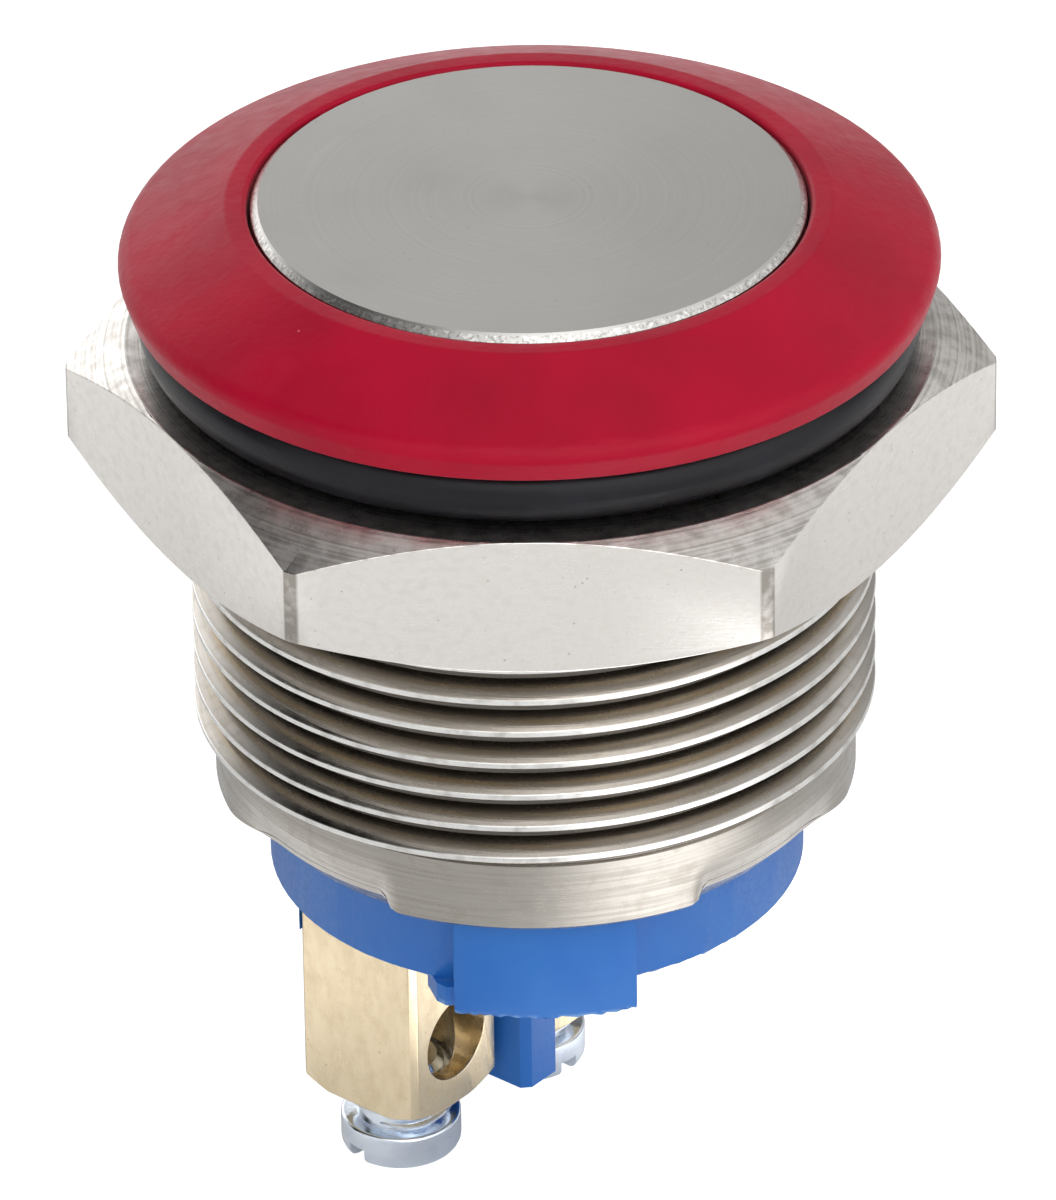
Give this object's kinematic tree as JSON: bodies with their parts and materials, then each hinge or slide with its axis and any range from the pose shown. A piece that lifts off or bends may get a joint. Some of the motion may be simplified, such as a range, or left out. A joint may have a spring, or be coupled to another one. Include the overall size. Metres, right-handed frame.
{
  "type": "vandal-resistant push button switch",
  "caption": "Panel push button with a flush metal button in a domed coloured bezel, a threaded bushing with seal and hexagon nut, and a moulded base with screw terminals.",
  "frame": {"origin": "on the axis, on the underside of the bezel where the panel seats", "axes": "+Z along the axis out of the button's face; the marking tab of the base faces -Y"},
  "size_m": [0.0254, 0.0226, 0.0303],
  "materials": {
    "red_paint": "satin powder coat",
    "stainless": "fine turned satin",
    "nickel": "turned, nickel plated",
    "nickel_nut": "milled, nickel plated",
    "rubber": "smooth satin",
    "blue_plastic": "moulded, satin",
    "black_plastic": "moulded",
    "white_plastic": "moulded",
    "brass": "bare sheet",
    "pale_brass": "thin nickel wash over brass",
    "silver": "bare contact silver",
    "zinc": "bright zinc plated",
    "spring_steel": "drawn wire"
  },
  "bodies": {
    "housing": {"bezel": "red_paint", "bushing": "nickel", "panel_seal": "rubber", "cover_gasket": "rubber", "contact_cover": "black_plastic", "base": "blue_plastic", "fixed_contact_a": "brass", "fixed_contact_b": "brass", "fixed_tips": "silver", "terminal_bar_a": "pale_brass", "terminal_bar_b": "pale_brass", "return_spring": "spring_steel"},
    "plunger": {"button": "stainless", "button_seal": "rubber", "retaining_clip": "spring_steel", "contact_carrier": "white_plastic", "bridge_washer": "spring_steel", "contact_spring": "spring_steel"},
    "bridge": {"contact_bridge": "brass", "bridge_tips": "silver"},
    "nut": {"panel_nut": "nickel_nut"},
    "screw_a": {"terminal_screw_a": "zinc"},
    "screw_b": {"terminal_screw_b": "zinc"}
  },
  "joints": [
    {"name": "button_press", "type": "slide", "parent": "housing", "child": "plunger", "axis": [0, 0, -1], "range_m": [0, 0.0012], "stiffness_N_per_m": 1500, "springref_m": -0.0015, "deforming": ["return_spring"]},
    {"name": "bridge_lift", "type": "slide", "parent": "plunger", "child": "bridge", "axis": [0, 0, 1], "range_m": [0, 0.00045], "deforming": ["contact_spring"]},
    {"name": "nut_travel", "type": "slide", "parent": "housing", "child": "nut", "axis": [0, 0, -1], "range_m": [0, 0.0075]},
    {"name": "screw_a_travel", "type": "slide", "parent": "housing", "child": "screw_a", "axis": [0, 0, 1], "range_m": [0, 0.00095]},
    {"name": "screw_b_travel", "type": "slide", "parent": "housing", "child": "screw_b", "axis": [0, 0, 1], "range_m": [0, 0.00095]}
  ],
  "couplings": [
    {"joint": "bridge_lift", "follows": "button_press", "ratio": 0.375}
  ]
}
